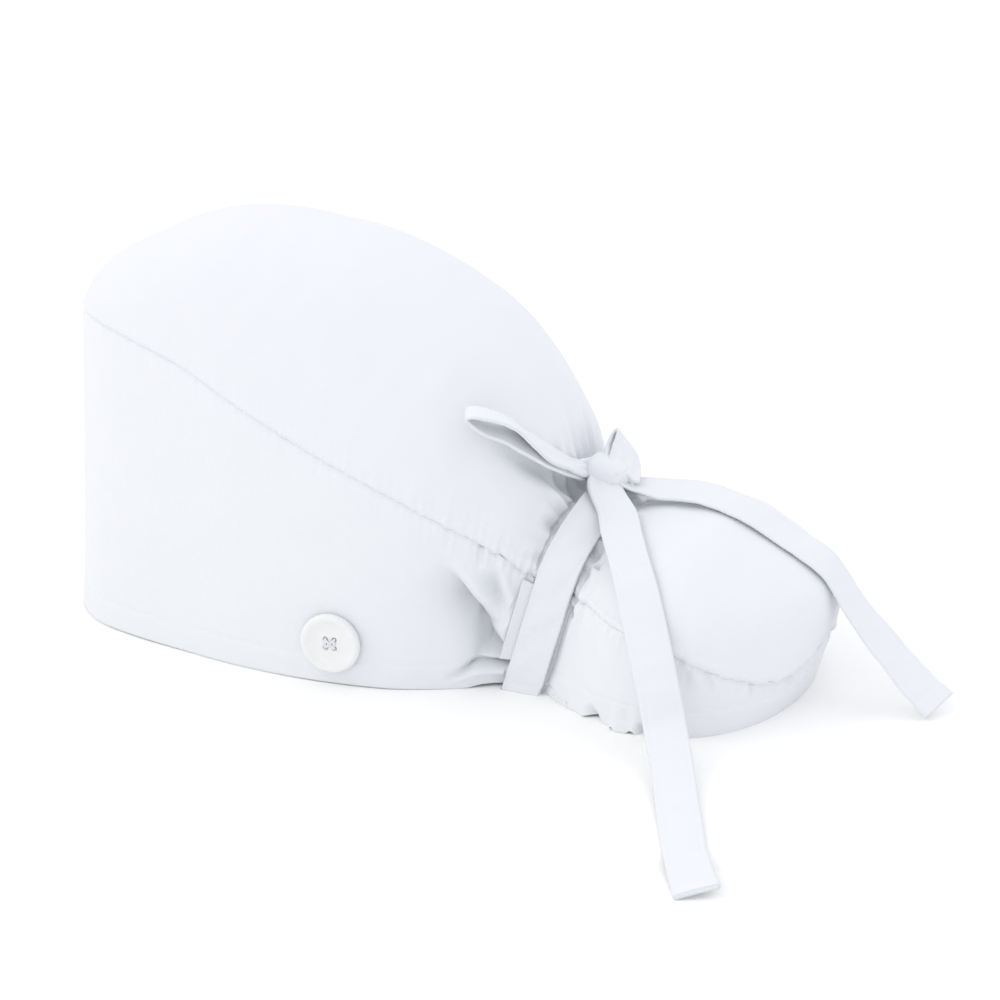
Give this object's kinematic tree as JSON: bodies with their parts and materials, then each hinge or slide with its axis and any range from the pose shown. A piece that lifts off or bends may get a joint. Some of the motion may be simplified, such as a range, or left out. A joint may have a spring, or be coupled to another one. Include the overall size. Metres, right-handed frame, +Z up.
{
  "type": "ponytail scrub cap",
  "caption": "Cloth ponytail scrub cap standing on its rim, with a seamed side band, a rear pouch, side buttons and a strap bow tied at the neck.",
  "frame": {"origin": "on the surface the rim stands on, under the middle of the outline seen from above", "axes": "+Y from the front of the cap towards the ponytail pouch, +Z up, +X to the side with the free tail"},
  "size_m": [0.2405, 0.345, 0.1585],
  "materials": {
    "shell_cloth": "matt plain-woven poly-cotton",
    "tie_cloth": "matt plain-woven poly-cotton, pressed flat",
    "button": "semi-gloss moulded plastic"
  },
  "bodies": {
    "root": {"top_panel_crown": "shell_cloth", "top_panel_pouch": "shell_cloth", "side_band": "shell_cloth", "casing_near": "shell_cloth", "casing_far": "shell_cloth", "strap_near": "tie_cloth", "strap_far": "tie_cloth", "knot": "tie_cloth", "bow_loop_left": "tie_cloth", "bow_loop_right": "tie_cloth", "tail_side": "tie_cloth", "tail_rear": "tie_cloth", "button_near": "button", "button_far": "button"}
  },
  "joints": []
}
